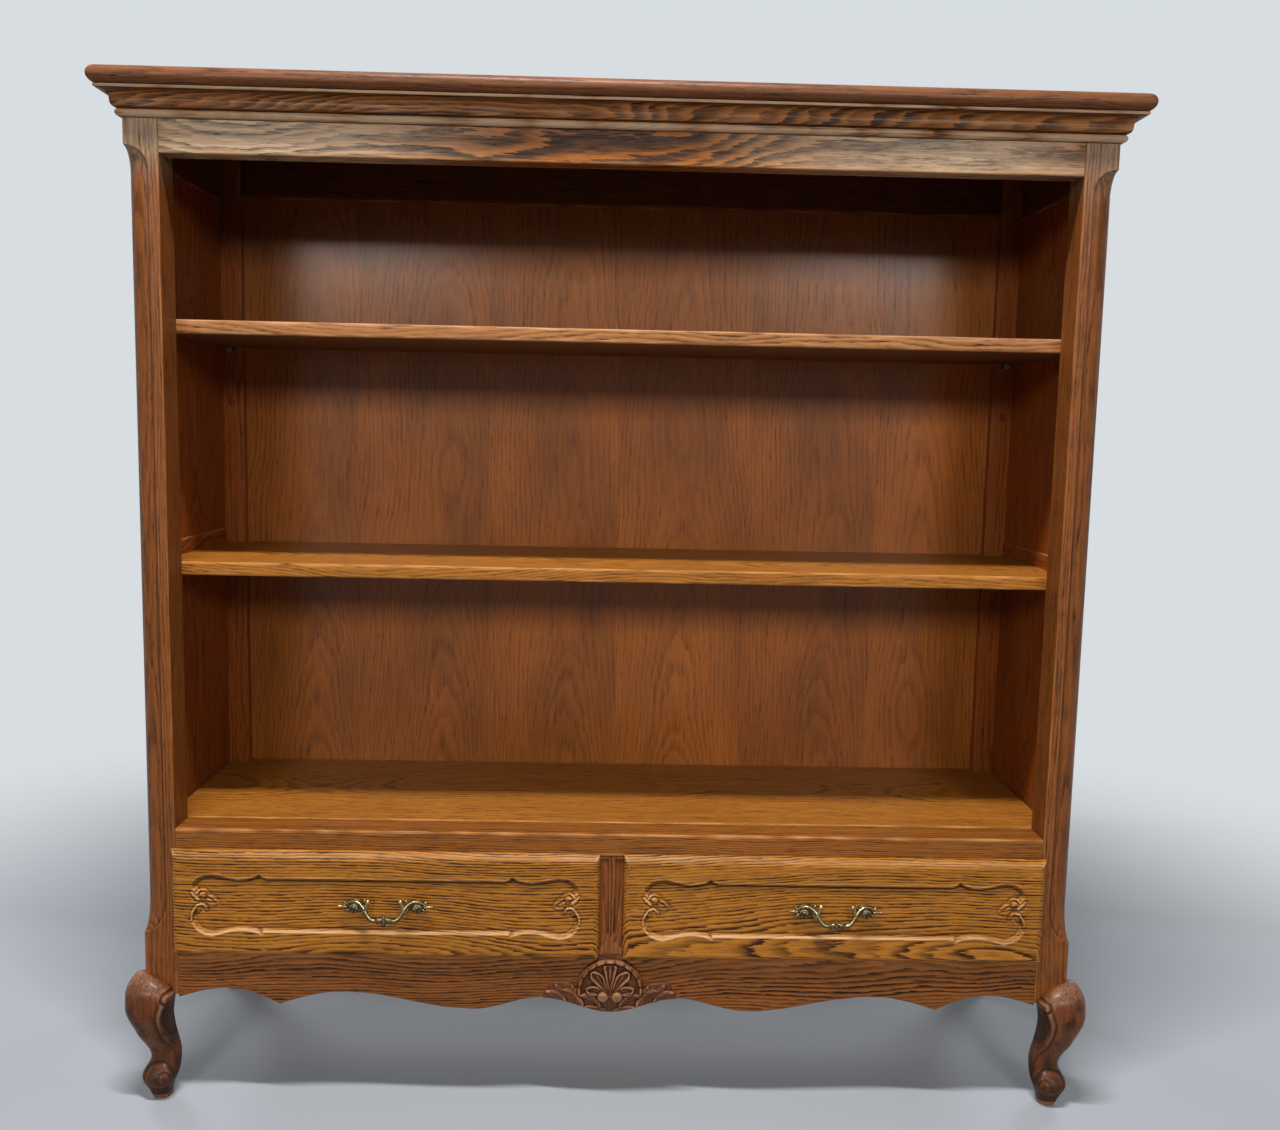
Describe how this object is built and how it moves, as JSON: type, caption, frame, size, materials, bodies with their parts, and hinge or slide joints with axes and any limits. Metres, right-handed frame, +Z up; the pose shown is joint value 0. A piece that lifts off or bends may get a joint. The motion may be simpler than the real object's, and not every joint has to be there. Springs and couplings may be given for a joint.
{
  "type": "bookcase",
  "caption": "Open provincial oak bookcase with shelves, drawers side by side, carved apron shell, cabriole front legs and a deep cornice.",
  "frame": {"origin": "on the floor, under the middle of the whole piece in width and depth", "axes": "+X to the right of someone facing the piece, +Y to the back, +Z up"},
  "size_m": [1.513, 0.4466, 1.552],
  "materials": {
    "oak": "satin varnish, medium brown",
    "dark_oak": "satin varnish, reddish brown",
    "leg_oak": "satin varnish, dark brown",
    "drawer_oak": "satin varnish, golden brown",
    "veneer": "satin varnished oak veneer, brown",
    "pale_oak": "bare oak",
    "plug_wood": "satin varnish, red brown",
    "brass": "antiqued",
    "steel": "zinc plated"
  },
  "bodies": {
    "case": {"frieze_rail": "oak", "drawer_rail": "oak", "apron": "oak", "centre_post": "oak", "upper_shelf": "oak", "middle_shelf": "oak", "floor_board": "oak", "back_top_rail": "oak", "back_bottom_rail": "oak", "side_top_rail_left": "oak", "side_top_rail_right": "oak", "side_mid_rail_left": "oak", "side_mid_rail_right": "oak", "side_bottom_rail_left": "oak", "side_bottom_rail_right": "oak", "side_lower_panel_left": "oak", "side_lower_panel_right": "oak", "side_upper_panel_left": "oak", "side_upper_panel_right": "oak", "top_board": "dark_oak", "cornice_front": "dark_oak", "cornice_left": "dark_oak", "cornice_right": "dark_oak", "front_post_left": "dark_oak", "front_post_right": "dark_oak", "back_post_left": "dark_oak", "back_post_right": "dark_oak", "front_leg_left": "leg_oak", "front_leg_right": "leg_oak", "apron_shell": "leg_oak", "back_panel": "veneer", "drawer_runner_left": "pale_oak", "drawer_runner_centre": "pale_oak", "drawer_runner_right": "pale_oak", "post_plug_upper_left": "plug_wood", "post_plug_upper_right": "plug_wood", "post_plug_lower_left": "plug_wood", "post_plug_lower_right": "plug_wood", "shelf_pin_front_left": "steel", "shelf_pin_front_right": "steel", "shelf_pin_back_left": "steel", "shelf_pin_back_right": "steel"},
    "left_drawer": {"left_drawer_front": "drawer_oak", "left_drawer_side_left": "pale_oak", "left_drawer_side_right": "pale_oak", "left_drawer_back": "pale_oak", "left_drawer_bottom": "pale_oak", "left_handle": "brass", "left_handle_screw_left": "steel", "left_handle_screw_right": "steel"},
    "right_drawer": {"right_drawer_front": "drawer_oak", "right_drawer_side_left": "pale_oak", "right_drawer_side_right": "pale_oak", "right_drawer_back": "pale_oak", "right_drawer_bottom": "pale_oak", "right_handle": "brass", "right_handle_screw_left": "steel", "right_handle_screw_right": "steel"}
  },
  "joints": [
    {"name": "left_drawer_slide", "type": "slide", "parent": "case", "child": "left_drawer", "axis": [0, -1, 0], "range_m": [0, 0.27]},
    {"name": "right_drawer_slide", "type": "slide", "parent": "case", "child": "right_drawer", "axis": [0, -1, 0], "range_m": [0, 0.27]}
  ]
}
